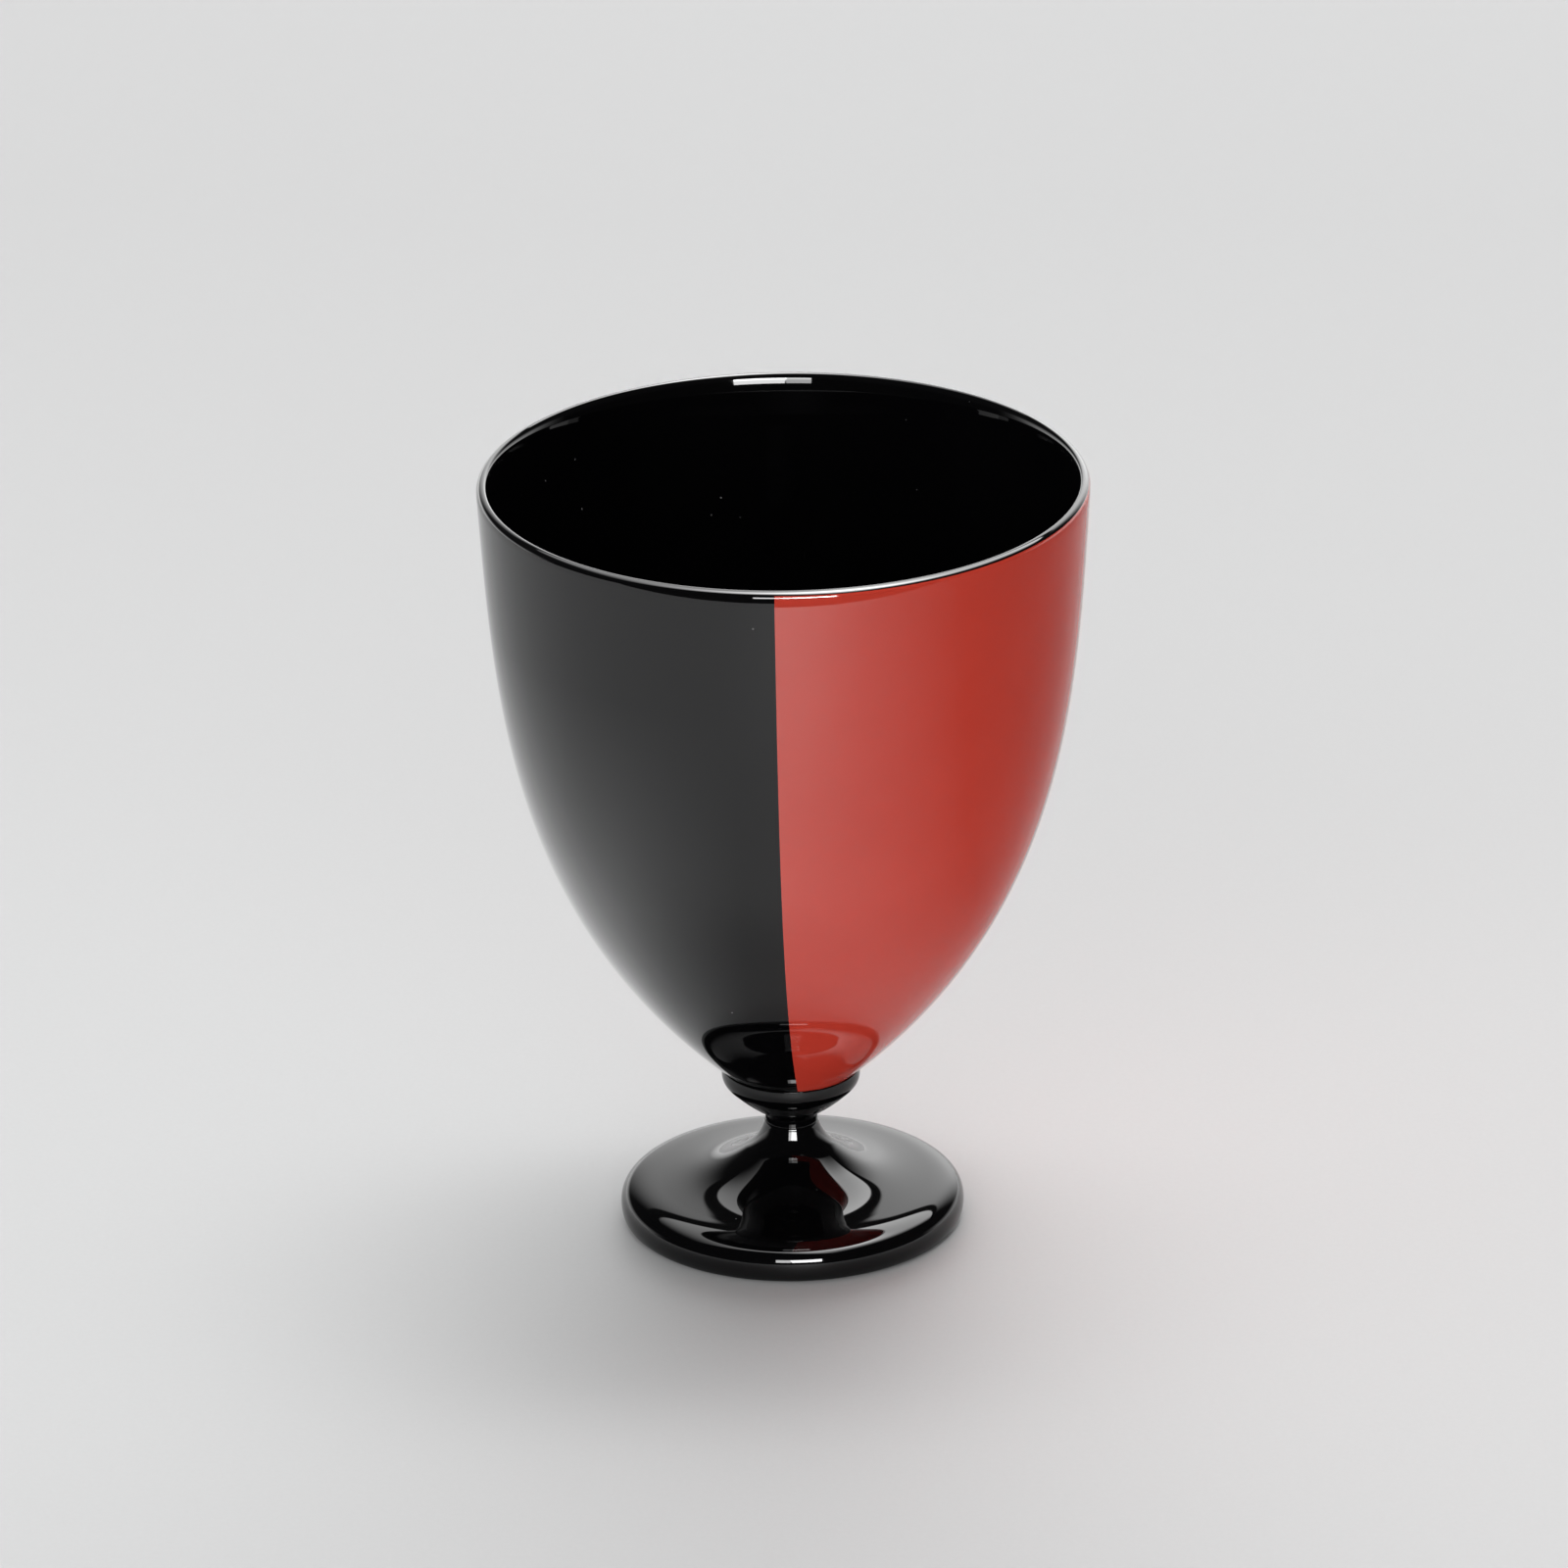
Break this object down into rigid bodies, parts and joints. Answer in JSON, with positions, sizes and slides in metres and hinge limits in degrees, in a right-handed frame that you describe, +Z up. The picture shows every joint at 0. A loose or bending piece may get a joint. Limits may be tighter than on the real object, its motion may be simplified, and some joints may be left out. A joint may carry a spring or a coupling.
{
  "type": "footed sake cup",
  "caption": "Lacquered footed sake cup: a deep round bowl, black on one side and red on the other, on a collar, a thin neck and a flared round foot.",
  "frame": {"origin": "centre of the foot's ring, on the surface the cup stands on", "axes": "+Z up the axis the cup is turned about, +X to the red side, the split between black and red runs along Y"},
  "size_m": [0.066, 0.066, 0.0866],
  "materials": {
    "black_lacquer": "polished black lacquer",
    "red_lacquer": "polished vermilion lacquer",
    "wood": "bare turned wood, hidden under the lacquer",
    "glue": "set lacquer paste, hidden in the joint"
  },
  "bodies": {
    "root": {"bowl_wood": "wood", "foot_wood": "wood", "tenon_glue": "glue", "bowl_lining": "black_lacquer", "black_side_coat": "black_lacquer", "red_side_coat": "red_lacquer", "foot_coat": "black_lacquer"}
  },
  "joints": []
}
